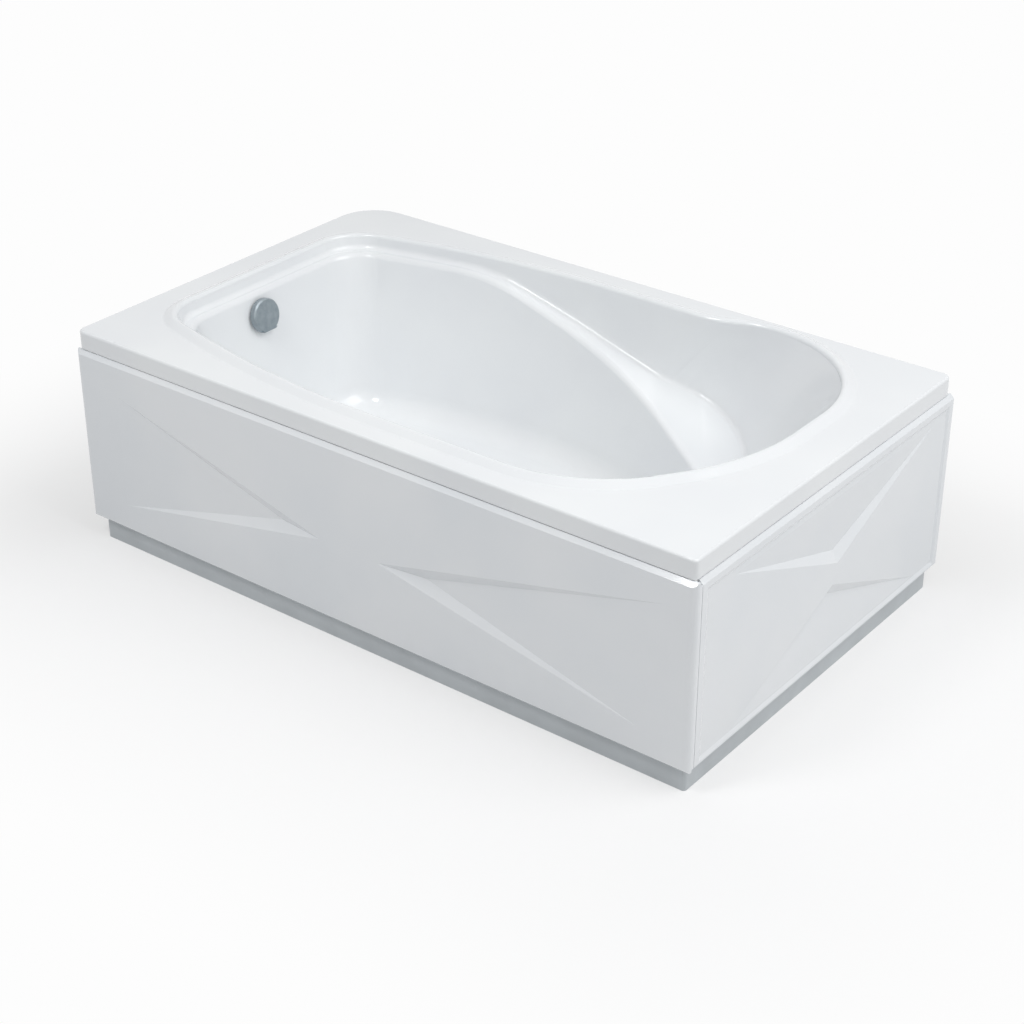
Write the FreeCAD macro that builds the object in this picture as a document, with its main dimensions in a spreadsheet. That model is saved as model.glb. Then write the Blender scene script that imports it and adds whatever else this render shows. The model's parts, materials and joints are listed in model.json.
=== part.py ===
import FreeCAD, Part
import math
import os
import Sketcher
from FreeCAD import Placement, Rotation, Vector

# An acrylic bathtub with a front and an end panel. Millimetres, +Z up, the floor at Z 0.
# X runs from the foot end (overflow) to the head end, Y from the front panel to the wall side.

SIZES = {
    # Whole bath
    "bath_length": 1500, "bath_width": 900, "deck_height": 470, "floor_height": 107,
    "acrylic_wall": 5, "backing_wall": 3, "overrun": 20, "clearance": 0.3,
    # Deck, its skirt and the raised bead round the opening
    "rim_skirt": 38, "rim_edge_round": 5, "panel_proud": 8,
    "corner_back_foot": 95, "corner_front_foot": 18, "corner_back_head": 18, "corner_front_head": 10,
    "bead_rise": 9, "bead_foot_width": 30, "bead_top_width": 12,
    "bead_lip_round": 8, "bead_crown_round": 10, "bead_base_round": 12,
    # Opening in the deck, its corners as shares of its own length and half width
    "foot_land": 88, "head_land": 118, "side_land": 78,
    "opening_taper_share": 94 / 372, "opening_knee_share": 372 / 1294,
    "head_front_run_share": 193 / 1294, "head_front_side_share": 101 / 372, "head_bulge_share": 36 / 372,
    "bulge_run_share": 307 / 1294, "bulge_start_share": 392 / 1294,
    "opening_corner": 95, "opening_knee_round": 2000, "head_front_round": 300, "head_end_round": 450,
    "head_back_round": 265, "bulge_round": 180,
    # Shoulder scoop, as its walls would meet the floor level
    "scoop_foot_lean": 62, "scoop_head_lean": 268, "scoop_side_lean": 14,
    "scoop_taper_share": 88 / 358, "scoop_knee_share": 310 / 964, "scoop_run_share": 273 / 964,
    "scoop_side_share": 128 / 358, "scoop_bulge_share": 8 / 358, "scoop_bulge_run_share": 300 / 964,
    "scoop_bulge_start_share": 388 / 964,
    "scoop_knee_round": 1500, "scoop_front_round": 400, "scoop_end_round": 215,
    "scoop_back_round": 288,
    # Leg well, at the top of its walls and at the floor
    "well_foot_step": 17, "well_head_step": 160, "well_side_step": 18,
    "well_taper_share": 90 / 354, "well_knee_share": 372 / 1117, "well_run_share": 400 / 1117,
    "well_side_share": 164 / 354, "well_corner": 85, "well_knee_round": 1500,
    "well_front_round": 700, "well_end_round": 225,
    "floor_foot_lean": 70, "floor_head_lean": 72, "floor_side_lean": 86,
    "floor_taper_share": 68 / 268, "floor_knee_share": 290 / 975, "floor_run_share": 350 / 975,
    "floor_side_share": 115 / 268, "floor_front_round": 700, "floor_end_round": 170,
    "floor_round": 60,
    # Ledge between the two: level round the foot end, then sloping down to the head end
    "ledge_depth": 24, "ledge_drop_share": 280.12 / 363, "ledge_run_share": 940 / 1294,
    "ledge_bend_round": 500,
    "ledge_round": 11, "brow_round": 12,
    # Base board and steel frame
    "board_thickness": 12, "board_length": 670, "board_width": 350, "board_corner": 20, "board_foot": 380,
    "tube_side": 25, "tube_wall": 2, "rail_gauge": 300, "rail_end_gap": 25, "cross_end_gap": 25,
    "cross_foot": 420, "cross_head": 950,
    "plate_thickness": 3, "plate_length": 70, "plate_screw_gap": 50,
    "batten_width": 25, "batten_thickness": 18, "batten_gap": 1.5, "batten_joint": 2,
    "screw_shank": 2, "screw_hole": 2.4, "pilot_fit": 0.05, "screw_length": 14,
    "screw_head": 4.5, "screw_head_height": 2.5,
    "board_screw_length": 10, "board_screw_gap": 250,
    # Levelling feet
    "stud_radius": 6, "stud_hole": 6.5, "stud_length": 80, "pad_radius": 24, "pad_top": 11, "pad_height": 12,
    "pad_edge": 4, "nut_radius": 11, "nut_height": 8, "foot_inset": 120,
    # Panels
    "panel_wall": 4, "panel_gap": 2, "panel_lip": 12, "panel_bevel": 8, "panel_foot_gap": 0.5,
    "panel_joint": 1.2, "panel_return": 18, "panel_corner": 13, "panel_tab": 10, "panel_foot_bevel": 6,
    "pocket_depth": 14, "end_pocket_depth": 12,
    "field_depth": 3, "field_bevel": 7, "field_front": 15, "field_back": 14, "field_top": 20, "field_low": 10,
    "pocket_root": 110, "end_pocket_root": 24,
    # Corners of the front panel's dents, as shares of the bath's length and of the panel's height
    "front_apex_rise_share": 0.447, "front_left_apex_share": 0.4367, "front_right_apex_share": 0.5313,
    "front_left_reach_share": 0.0747, "front_right_reach_share": 0.96,
    "front_right_low_reach_share": 0.9267,
    "front_left_top_share": 0.81, "front_right_top_share": 0.849,
    "front_left_bottom_share": 0.158, "front_right_bottom_share": 0.15,
    # Corners of the end panel's dents, as shares of the bath's width and of the panel's height
    "end_top_rise_share": 0.901, "end_apex_rise_share": 0.518, "end_top_front_share": 0.1389,
    "end_top_back_share": 0.9222, "end_apex_share": 0.5389, "end_low_apex_share": 0.5278,
    "end_low_apex_rise_share": 0.411, "end_low_rise_share": 0.053,
    "end_low_front_share": 0.1611, "end_low_back_share": 0.8889,
    # Panel pins and the spring clips that hold them
    "pin_radius": 5, "clip_side": 18, "clip_depth": 10, "clip_slit": 3, "pin_end_gap": 1,
    "front_clip_high_share": 0.87, "front_clip_low_share": 0.192,
    "end_clip_high_share": 0.609, "end_clip_low_share": 0.359,
    # Plinth under the panels
    "plinth_height": 46, "plinth_recess": 12, "plinth_thickness": 10, "plinth_foot_inset": 32,
    "plinth_corner": 14, "plinth_back_inset": 20,
    "bracket_width": 30, "bracket_rise": 5, "bracket_top_gap": 2,
    # Waste in the floor
    "waste_inset": 212, "drain_forward": 40,
    "waste_hole": 26, "waste_neck": 25.5, "waste_bore": 22, "waste_mouth": 27,
    "waste_flange": 36, "waste_flange_height": 3, "waste_edge": 1, "waste_mouth_depth": 5,
    "waste_neck_drop": 15,
    "waste_hub": 8, "waste_hub_height": 5, "waste_spoke": 3, "plug_stem": 4, "plug_stem_length": 36,
    "plug_cap": 31, "plug_cap_height": 5, "plug_dome": 14, "plug_rim": 2, "plug_seat_gap": 0.5,
    "seal_radius": 24, "seal_inner": 17, "seal_height": 3,
    "gasket_height": 3, "gasket_radius": 40, "body_flange": 42, "body_flange_height": 3, "body_radius": 32,
    "body_wall": 3, "body_depth": 38, "outlet_radius": 20, "outlet_length": 12,
    "branch_reach": 56, "branch_drop": 1,
    "trap_radius": 46, "trap_height": 46, "trap_bevel": 8, "spigot_radius": 20, "spigot_length": 70,
    "collar_radius": 22, "collar_length": 10,
    # Overflow in the foot wall
    "overflow_depth": 75, "overflow_hole": 27, "face_radius": 33, "face_inner": 25, "face_height": 4,
    "face_hub": 11, "face_spoke": 6, "hub_depth": 34, "spindle_radius": 5, "spindle_fit": 0.05,
    "spindle_depth": 30,
    "knob_radius": 37.5, "knob_height": 13, "knob_gap": 1, "knob_edge": 3, "knob_wall": 3, "knob_flat": 33,
    "elbow_flange": 34, "elbow_flange_height": 3, "elbow_radius": 31, "elbow_depth": 40, "elbow_wall": 3,
    "stub_reach": 52, "pipe_radius": 16, "pipe_wall": 2, "pipe_bend": 60, "nut_bore_gap": 0.2,
    "pipe_nut_radius": 21, "pipe_nut_height": 18,
    "cable_radius": 3, "cable_offset": 25, "cable_bend": 54,
}


class Measure:
    """A size with its number and the spreadsheet expression that gives it."""

    def __init__(self, value, text):
        self.value = float(value)
        self.text = text

    def __float__(self):
        return self.value

    def __neg__(self):
        return Measure(-self.value, f"-({self.text})")

    def __add__(self, other):
        return Measure(self.value + float(other), f"({self.text} + {text_of(other)})")

    def __radd__(self, other):
        return Measure(float(other) + self.value, f"({text_of(other)} + {self.text})")

    def __sub__(self, other):
        return Measure(self.value - float(other), f"({self.text} - {text_of(other)})")

    def __rsub__(self, other):
        return Measure(float(other) - self.value, f"({text_of(other)} - {self.text})")

    def __mul__(self, other):
        return Measure(self.value * float(other), f"({self.text} * {text_of(other)})")

    def __truediv__(self, other):
        return Measure(self.value / float(other), f"({self.text} / {text_of(other)})")


def text_of(number):
    return number.text if isinstance(number, Measure) else repr(float(number))


class Sheet:
    """The spreadsheet, with each alias readable as a Measure."""

    def __init__(self, table):
        self.cells = doc.addObject("Spreadsheet::Sheet", "sizes")
        for row, (alias, number) in enumerate(table.items(), start=1):
            self.cells.set(f"A{row}", alias)
            self.cells.set(f"B{row}", str(number))
            self.cells.setAlias(f"B{row}", alias)
        doc.recompute()

    def __getattr__(self, alias):
        return Measure(self.cells.get(alias), f"sizes.{alias}")


doc = FreeCAD.newDocument("bathtub")
size = Sheet(SIZES)
pieces = []


# Shared ways of making a solid

def keep(thing, label):
    thing.Label = label
    pieces.append(thing)
    return thing


def put(thing, x=0, y=0, z=0):
    for axis, place in zip("xyz", (x, y, z)):
        if isinstance(place, Measure):
            thing.setExpression(f"Placement.Base.{axis}", place.text)
    return thing


def box(label, sides, corner):
    thing = doc.addObject("Part::Box", label)
    for side, length in zip(("Length", "Width", "Height"), sides):
        thing.setExpression(side, length.text)
    return put(thing, *corner)


def round_bar(label, radius, length, corner):
    thing = doc.addObject("Part::Cylinder", label)
    thing.setExpression("Radius", radius.text)
    thing.setExpression("Height", length.text)
    return put(thing, *corner)


def draw_loop(sketch, points):
    """Draw a closed outline whose corners are bound to the spreadsheet."""
    first = sketch.GeometryCount
    count = len(points)
    spots = [Vector(float(a), float(b), 0) for a, b in points]
    for i in range(count):
        sketch.addGeometry(Part.LineSegment(spots[i], spots[(i + 1) % count]))
    for i in range(count):
        here = first + i
        sketch.addConstraint(Sketcher.Constraint("Coincident", here, 2, first + (i + 1) % count, 1))
        for kind, axis, place in (("DistanceX", -2, points[i][0]), ("DistanceY", -1, points[i][1])):
            if isinstance(place, Measure):
                index = sketch.addConstraint(Sketcher.Constraint(kind, -1, 1, here, 1, float(place)))
                sketch.setExpression(f"Constraints[{index}]", place.text)
            else:
                sketch.addConstraint(Sketcher.Constraint("PointOnObject", here, 1, axis))


def start_body(label, plane):
    body = doc.addObject("PartDesign::Body", label)
    sketch = body.newObject("Sketcher::SketchObject", f"{label}_sketch")
    support = [f for f in body.Origin.OriginFeatures if f.Role == plane][0]
    sketch.AttachmentSupport = [(support, "")]
    sketch.MapMode = "FlatFace"
    return body, sketch


def padded(label, loops, length, plane="XY_Plane"):
    body, sketch = start_body(label, plane)
    for loop in loops:
        draw_loop(sketch, loop)
    pad = body.newObject("PartDesign::Pad", f"{label}_pad")
    pad.Profile = sketch
    pad.setExpression("Length", length.text)
    return body


def turned(label, profile):
    """Turn a profile of (radius, height) corners about the Z axis."""
    body, sketch = start_body(label, "XZ_Plane")
    draw_loop(sketch, profile)
    turn = body.newObject("PartDesign::Revolution", f"{label}_turn")
    turn.Profile = sketch
    turn.ReferenceAxis = (sketch, ["V_Axis"])
    turn.Angle = 360
    return body


def cut(label, base, tool):
    thing = doc.addObject("Part::Cut", label)
    thing.Base = base
    thing.Tool = tool
    return thing


def fuse(label, shapes):
    thing = doc.addObject("Part::MultiFuse", label)
    thing.Shapes = shapes
    return thing


def freeform(label, shape, placement=None):
    thing = doc.addObject("Part::Feature", label)
    thing.Shape = shape
    if placement:
        thing.Placement = placement
    return thing


def square_loop(x0, x1, y0, y1):
    return [(x0, y0), (x1, y0), (x1, y1), (x0, y1)]


def steel_tube(label, length, plane):
    """A square tube along the normal of a plane, its near lower corner at its own origin."""
    side, wall = size.tube_side, size.tube_wall
    outer = square_loop(0, side, 0, side)
    inner = square_loop(wall, side - wall, wall, side - wall)
    return padded(label, [outer, inner], length, plane)


# Places that several pieces share

foot_edge = -size.bath_length / 2
head_edge = size.bath_length / 2
front_edge = -size.bath_width / 2
back_edge = size.bath_width / 2
rim_front = front_edge + size.panel_proud
rim_head = head_edge - size.panel_proud
deck_under = size.deck_height - size.acrylic_wall
skin = size.acrylic_wall + size.backing_wall
floor_under = size.floor_height - skin
board_under = floor_under - size.board_thickness
cross_top = board_under - size.tube_side
cross_under = cross_top - size.tube_side
batten_under = deck_under - size.batten_thickness
plate_under = batten_under - size.plate_thickness
panel_top = size.deck_height - size.rim_skirt - size.panel_gap
panel_bottom = size.plinth_height + size.panel_foot_gap
opening_foot = foot_edge + size.foot_land
opening_head = head_edge - size.head_land
opening_half = back_edge - size.side_land
post_front = front_edge + size.cross_end_gap
post_back = back_edge - size.cross_end_gap
rail_head = head_edge - size.rail_end_gap
rail_foot = foot_edge + size.rail_end_gap


def panel_level(share):
    """The height at a share of the panel's own height."""
    return panel_bottom + (panel_top - panel_bottom) * share


front_clip_levels = [panel_level(size.front_clip_high_share), panel_level(size.front_clip_low_share)]
end_clip_levels = [panel_level(size.end_clip_high_share), panel_level(size.end_clip_low_share)]
cross_places = (foot_edge + size.cross_foot, foot_edge + size.cross_head)
waste_x = opening_foot + size.waste_inset
drain_y = -size.drain_forward


# Outlines of the basin

def rounded_wire(corners, height):
    """A closed outline of straight runs and tangent arcs that fit them; each corner is (x, y, radius)."""
    count = len(corners)
    spots = [Vector(float(x), float(y), float(height)) for x, y, _ in corners]
    runs = [spots[i].distanceToPoint(spots[i - 1]) for i in range(count)]
    half_turns = []
    for i in range(count):
        back = (spots[i - 1] - spots[i]).normalize()
        ahead = (spots[(i + 1) % count] - spots[i]).normalize()
        half_turns.append((math.pi - back.getAngle(ahead)) / 2)
    tangents = [float(corners[i][2]) * math.tan(half_turns[i]) for i in range(count)]
    fits = [min(1.0, runs[i] / (tangents[i] + tangents[i - 1])) for i in range(count)]
    arcs = []
    for i in range(count):
        back = (spots[i - 1] - spots[i]).normalize()
        ahead = (spots[(i + 1) % count] - spots[i]).normalize()
        fit = min(fits[i], fits[(i + 1) % count])
        radius = float(corners[i][2]) * fit
        tangent = tangents[i] * fit
        inward = (back + ahead).normalize() * (radius / math.cos(half_turns[i]) - radius)
        arcs.append((spots[i] + back * tangent, spots[i] + inward, spots[i] + ahead * tangent))
    edges = []
    for i in range(count):
        edges.append(Part.Arc(*arcs[i]).toShape())
        start, end = arcs[i][2], arcs[(i + 1) % count][0]
        if start.distanceToPoint(end) > float(size.clearance):
            edges.append(Part.LineSegment(start, end).toShape())
    return Part.Wire(edges)


def opening_wire(height):
    half, length = opening_half, opening_head - opening_foot
    bulged, narrow = half + half * size.head_bulge_share, half - half * size.opening_taper_share
    knee = opening_foot + length * size.opening_knee_share
    return rounded_wire([
        (opening_foot, -narrow, size.opening_corner),
        (knee, -half, size.opening_knee_round),
        (opening_head - length * size.head_front_run_share, -half, size.head_front_round),
        (opening_head, -half * size.head_front_side_share, size.head_end_round),
        (opening_head, bulged, size.head_back_round),
        (opening_head - length * size.bulge_run_share, bulged, size.bulge_round),
        (opening_head - length * size.bulge_start_share, half, size.bulge_round),
        (knee, half, size.opening_knee_round),
        (opening_foot, narrow, size.opening_corner)], height)


def scoop_wire(height):
    foot, head = opening_foot + size.scoop_foot_lean, opening_head - size.scoop_head_lean
    half, length = opening_half - size.scoop_side_lean, head - foot
    bulged, narrow = half + half * size.scoop_bulge_share, half - half * size.scoop_taper_share
    knee = foot + length * size.scoop_knee_share
    return rounded_wire([
        (foot, -narrow, size.opening_corner),
        (knee, -half, size.scoop_knee_round),
        (head - length * size.scoop_run_share, -half, size.scoop_front_round),
        (head, -half * size.scoop_side_share, size.scoop_end_round),
        (head, bulged, size.scoop_back_round),
        (head - length * size.scoop_bulge_run_share, bulged, size.bulge_round),
        (head - length * size.scoop_bulge_start_share, half, size.bulge_round),
        (knee, half, size.scoop_knee_round),
        (foot, narrow, size.opening_corner)], height)


def leg_well_wire(foot, head, half, shares, front_round, end_round, height):
    """An outline of the leg well; the shares are its taper, knee, head run and the half width of its end."""
    narrow, end = half - half * shares[0], half * shares[3]
    knee, run = (head - foot) * shares[1], (head - foot) * shares[2]
    return rounded_wire([
        (foot, -narrow, size.well_corner),
        (foot + knee, -half, size.well_knee_round),
        (head - run, -half, front_round),
        (head, -end, end_round),
        (head, end, end_round),
        (head - run, half, front_round),
        (foot + knee, half, size.well_knee_round),
        (foot, narrow, size.well_corner)], height)


well_foot = opening_foot + size.well_foot_step
well_head = opening_head - size.well_head_step
well_half = opening_half - size.well_side_step
floor_foot = well_foot + size.floor_foot_lean


def well_top_wire(height):
    shares = (size.well_taper_share, size.well_knee_share, size.well_run_share, size.well_side_share)
    return leg_well_wire(well_foot, well_head, well_half, shares,
                         size.well_front_round, size.well_end_round, height)


def well_floor_wire(height):
    shares = (size.floor_taper_share, size.floor_knee_share, size.floor_run_share, size.floor_side_share)
    head, half = well_head - size.floor_head_lean, well_half - size.floor_side_lean
    return leg_well_wire(floor_foot, head, half, shares, size.floor_front_round, size.floor_end_round, height)


def grown(wire, amount):
    return wire.makeOffset2D(amount) if amount else wire


# The basin as a solid, so that the sheet is one basin less a smaller one

basin_top = size.deck_height + size.bead_rise + size.overrun


class Ledge:
    """Side view of the ledge: a level run, a bend and a straight slope down to the head end."""

    def __init__(self, amount):
        self.level = float(size.deck_height - size.ledge_depth) - amount
        run = (opening_head - opening_foot) * size.ledge_run_share
        drop = (size.deck_height - size.floor_height) * size.ledge_drop_share
        self.slope = float(drop / run)
        self.corner = float(opening_head - run)
        self.angle = math.atan(self.slope)
        self.radius = float(size.ledge_bend_round)
        tangent = self.radius * math.tan(self.angle / 2)
        self.bend_start = self.corner - tangent
        self.bend_end = self.corner + tangent * math.cos(self.angle)

    def height(self, x):
        if x < self.bend_start:
            return self.level
        if x < self.bend_end:
            return self.level - self.radius + math.sqrt(self.radius ** 2 - (x - self.bend_start) ** 2)
        return self.level - self.slope * (x - self.corner)

    def solid_below(self):
        far, side = float(size.bath_length), float(size.bath_width)
        middle = self.bend_start + self.radius * math.sin(self.angle / 2)
        knots = [-far, self.bend_start, self.bend_end, far]
        points = [Vector(x, -side, self.height(x)) for x in knots]
        bend = Part.Arc(points[1], Vector(middle, -side, self.height(middle)), points[2]).toShape()
        under = [Vector(far, -side, -far), Vector(-far, -side, -far)]
        runs = [(points[0], points[1]), (points[2], points[3]), (points[3], under[0]), tuple(under),
                (under[1], points[0])]
        edges = [Part.LineSegment(a, b).toShape() for a, b in runs]
        edges.insert(1, bend)
        return Part.Face(Part.Wire(edges)).extrude(Vector(0, 2 * side, 0))

    def touches(self, point):
        return abs(point.z - self.height(point.x)) < float(size.clearance)


def edge_points(edge):
    middle = edge.valueAt((edge.FirstParameter + edge.LastParameter) / 2)
    return [vertex.Point for vertex in edge.Vertexes] + [middle]


def round_edges(solid, radius, wanted):
    """Round every edge whose ends and middle all satisfy a test."""
    chosen = [edge for edge in solid.Edges if all(wanted(point) for point in edge_points(edge))]
    return solid.makeFillet(float(radius), chosen)


def basin(amount):
    """The room inside the bath, grown outwards by an amount."""
    low = float(size.floor_height) - amount
    ledge = Ledge(amount)
    brim = grown(opening_wire(size.deck_height), amount)
    collar = Part.Face(brim).extrude(Vector(0, 0, float(basin_top - size.deck_height)))
    slope = Part.makeLoft([brim, grown(scoop_wire(low), amount)], True, True)
    scoop = slope.fuse(collar).removeSplitter()
    well_ends = [well_top_wire(basin_top), well_floor_wire(low)]
    well = Part.makeLoft([grown(wire, amount) for wire in well_ends], True, True)
    room = scoop.cut(ledge.solid_below()).fuse(well).removeSplitter()
    near = float(size.clearance)
    scoop_wall = scoop.Shells[0]
    well_wall = well.Shells[0]

    def on_floor(point):
        return abs(point.z - low) < near

    def on_scoop_foot(point):
        return ledge.touches(point) and Part.Vertex(point).distToShape(scoop_wall)[0] < near

    def on_well_brow(point):
        return ledge.touches(point) and Part.Vertex(point).distToShape(well_wall)[0] < near

    room = round_edges(room, size.floor_round + amount, on_floor)
    room = round_edges(room, size.ledge_round + amount, on_scoop_foot)
    return round_edges(room, max(float(size.brow_round) - amount, float(size.backing_wall)), on_well_brow)


def slab(outline, low, high):
    wire = outline.copy()
    wire.translate(Vector(0, 0, float(low) - wire.BoundBox.ZMin))
    return Part.Face(wire).extrude(Vector(0, 0, float(high) - float(low)))


def half_space(low, high):
    """A slab wider than the bath between two heights."""
    length, width = float(size.bath_length), float(size.bath_width)
    block = Part.makeBox(2 * length, 2 * width, float(high) - float(low))
    block.translate(Vector(-length, -width, float(low)))
    return block


# The overflow sits square to the leaning foot wall

overflow_z = size.deck_height - size.overflow_depth
wall_run = float(size.floor_foot_lean)
wall_fall = float(basin_top - size.floor_height)
wall_lean = math.atan2(wall_run, wall_fall)
overflow_x = float(well_foot) + wall_run * (float(basin_top) - float(overflow_z)) / wall_fall
overflow_drop = basin_top - overflow_z + size.elbow_flange
overflow_skin = (skin + size.floor_foot_lean * overflow_drop / (basin_top - size.floor_height)
                 - size.floor_foot_lean * overflow_drop / (basin_top - size.floor_height + skin)
                 ) * math.cos(wall_lean)
overflow_place = Placement(Vector(overflow_x, float(drain_y), float(overflow_z)),
                           Rotation(Vector(0, 1, 0), 90 - math.degrees(wall_lean)))


def drill_basin(solid):
    """Cut the waste and overflow holes through the sheet."""
    reach = float(size.floor_round)
    waste = Part.makeCylinder(float(size.waste_hole), 2 * reach, Vector(float(waste_x), float(drain_y), 0))
    waste.translate(Vector(0, 0, float(size.floor_height) - reach))
    overflow = Part.makeCylinder(float(size.overflow_hole), 2 * reach, Vector(0, 0, -reach))
    overflow.Placement = overflow_place.multiply(overflow.Placement)
    return solid.cut(waste).cut(overflow)


# Shell

def rim_wire(inset=0.0):
    """The deck's outline: rounded most at the back of the foot end."""
    inset = float(inset)
    radii = [size.corner_front_foot, size.corner_front_head, size.corner_back_head, size.corner_back_foot]
    spots = [(foot_edge, rim_front), (rim_head, rim_front), (rim_head, back_edge), (foot_edge, back_edge)]
    wire = rounded_wire([(x, y, radius) for (x, y), radius in zip(spots, radii)], size.deck_height)
    return grown(wire, -inset)


def bead_solid():
    low = opening_wire(size.deck_height)
    high = opening_wire(size.deck_height + size.bead_rise)
    return Part.makeLoft([grown(low, float(size.bead_foot_width)), grown(high, float(size.bead_top_width))],
                         True, True)


def make_shell(inner, outer):
    deck = float(size.deck_height)
    wall = float(size.acrylic_wall)
    plate = slab(rim_wire(), deck_under, size.deck_height)
    skirt = slab(rim_wire(), deck - float(size.rim_skirt), size.deck_height)
    skirt = skirt.cut(slab(rim_wire(wall), deck - float(size.rim_skirt), size.deck_height))
    bowl = outer.common(half_space(0, size.deck_height))
    body = plate.fuse([skirt, bead_solid(), bowl]).removeSplitter().cut(inner)
    crown = deck + float(size.bead_rise)
    near = float(size.clearance)
    wall_face = inner.Shells[0]
    bead_foot = grown(opening_wire(size.deck_height), float(size.bead_foot_width))
    rim_edge = rim_wire()

    def on_lip(point):
        return abs(point.z - crown) < near and Part.Vertex(point).distToShape(wall_face)[0] < near

    def on_crown(point):
        return abs(point.z - crown) < near and Part.Vertex(point).distToShape(wall_face)[0] > near

    def on_bead_foot(point):
        return Part.Vertex(point).distToShape(bead_foot)[0] < near

    def on_rim(point):
        return Part.Vertex(point).distToShape(rim_edge)[0] < near

    body = round_edges(body, size.bead_lip_round, on_lip)
    body = round_edges(body, size.bead_crown_round, on_crown)
    body = round_edges(body, size.bead_base_round, on_bead_foot)
    body = round_edges(body, size.rim_edge_round, on_rim)
    return keep(freeform("acrylic_shell", drill_basin(body)), "acrylic_shell")


def make_backing(outer):
    skin_room = basin(float(skin))
    body = skin_room.common(half_space(0, deck_under)).cut(outer)
    return keep(freeform("fibreglass_backing", drill_basin(body)), "fibreglass_backing")


def make_sheet():
    outer = basin(float(size.acrylic_wall))
    make_shell(basin(0.0), outer)
    make_backing(outer)



# Base board, frame and rim battens

def pilot_holes(label, places, low):
    """Holes for wood screws, from just below a height up to the screws' reach."""
    length = size.screw_length + size.overrun
    radius = size.screw_shank + size.pilot_fit
    holes = [round_bar(f"{label}_pilot", radius, length, (x, y, low - size.overrun)) for x, y in places]
    return fuse(f"{label}_pilots", holes)


def make_board():
    half, corner = size.board_width / 2, size.board_corner
    x0 = opening_foot + size.board_foot
    x1 = x0 + size.board_length
    outline = [(x0 + corner, -half), (x1 - corner, -half), (x1, corner - half), (x1, half - corner),
               (x1 - corner, half), (x0 + corner, half), (x0, half - corner), (x0, corner - half)]
    board = put(padded("base_board_blank", [outline], size.board_thickness), z=board_under)
    places = [spot for side in (-1, 1) for spot in board_screw_places(side)]
    return keep(cut("base_board", board, pilot_holes("base_board", places, board_under)), "base_board")


def board_screw_places(side):
    middle = opening_foot + size.board_foot + size.board_length / 2
    return [(middle + size.board_screw_gap * step, size.rail_gauge / 2 * side) for step in (-1, 0, 1)]


def make_long_rails():
    """The two long rails, drilled through for the screws that hold the base board."""
    length = rail_head - rail_foot
    for label, side in (("long_rail_front", -1), ("long_rail_back", 1)):
        tube = steel_tube(f"{label}_tube", length, "YZ_Plane")
        put(tube, rail_foot, size.rail_gauge / 2 * side - size.tube_side / 2, cross_top)
        holes = [round_bar(f"{label}_hole", size.screw_hole, size.tube_wall + size.overrun,
                           (x, y, board_under - size.tube_wall - size.overrun / 2))
                 for x, y in board_screw_places(side)]
        keep(cut(label, tube, fuse(f"{label}_holes", holes)), label)


def make_cross_rails():
    """Each cross rail is a tube with a hole for the levelling stud near each end."""
    length = post_back - post_front
    for label, x in zip(("cross_rail_left", "cross_rail_right"), cross_places):
        tube = padded(f"{label}_tube", [
            square_loop(0, size.tube_side, -size.tube_side, 0),
            square_loop(size.tube_wall, size.tube_side - size.tube_wall,
                        size.tube_wall - size.tube_side, -size.tube_wall)], length, "XZ_Plane")
        tube.Placement = Placement(Vector(), Rotation(Vector(1, 0, 0), 180))
        put(tube, x - size.tube_side / 2, post_front, cross_under)
        holes = [round_bar(f"{label}_hole_{side}", size.stud_hole, size.tube_side + size.overrun * 2,
                           (x, (back_edge - size.foot_inset) * side, cross_under - size.overrun))
                 for side in (-1, 1)]
        keep(cut(label, tube, fuse(f"{label}_holes", holes)), label)


def post_places():
    """Where the uprights stand: name, near corner and foot height."""
    side = size.tube_side
    ends = (("left", rail_foot), ("right", rail_head - side))
    gauges = (("front", -size.rail_gauge / 2 - side / 2), ("back", size.rail_gauge / 2 - side / 2))
    places = [(f"end_post_{end}_{row}", x, y, board_under) for end, x in ends for row, y in gauges]
    rows = (("front", post_front), ("back", post_back - side))
    for end, x in zip(("left", "right"), cross_places):
        places += [(f"side_post_{row}_{end}", x - side / 2, y, cross_top) for row, y in rows]
    return places


def make_posts():
    for label, x, y, low in post_places():
        keep(put(steel_tube(label, plate_under - low, "XY_Plane"), x, y, low), label)


batten_front = rim_front + size.acrylic_wall + size.batten_gap
batten_back = back_edge - size.acrylic_wall - size.batten_gap
batten_foot = foot_edge + size.acrylic_wall + size.batten_gap
batten_head = rim_head - size.acrylic_wall - size.batten_gap


def plate_places():
    """Each post's plate as (low corner, high corner, screw places), reaching out under the batten."""
    spare, side, half = (size.plate_length - size.tube_side) / 2, size.tube_side, size.batten_width / 2
    plates = []
    for label, x, y, _ in post_places():
        if label.startswith("side"):
            front = "front" in label
            low = (x - spare, batten_front if front else y)
            high = (x + side + spare, y + side if front else batten_back)
            line = batten_front + half if front else batten_back - half
            screws = [(x + side / 2 + size.plate_screw_gap / 2 * step, line) for step in (-1, 1)]
        else:
            left = "left" in label
            low = (batten_foot if left else x, y - spare)
            high = (x + side if left else batten_head, y + side + spare)
            line = batten_foot + half if left else batten_head - half
            screws = [(line, y + side / 2 + size.plate_screw_gap / 2 * step) for step in (-1, 1)]
        plates.append((low, high, screws))
    return plates


def make_post_plates():
    solids = []
    thick, deep = float(size.plate_thickness), float(plate_under)
    for low, high, screws in plate_places():
        sides = [float(b) - float(a) for a, b in zip(low, high)]
        plate = Part.makeBox(*sides, thick, Vector(float(low[0]), float(low[1]), deep))
        for x, y in screws:
            hole = Part.makeCylinder(float(size.screw_hole), thick, Vector(float(x), float(y), deep))
            plate = plate.cut(hole)
        solids.append(plate)
    keep(freeform("post_plates", Part.makeCompound(solids)), "post_plates")


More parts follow.
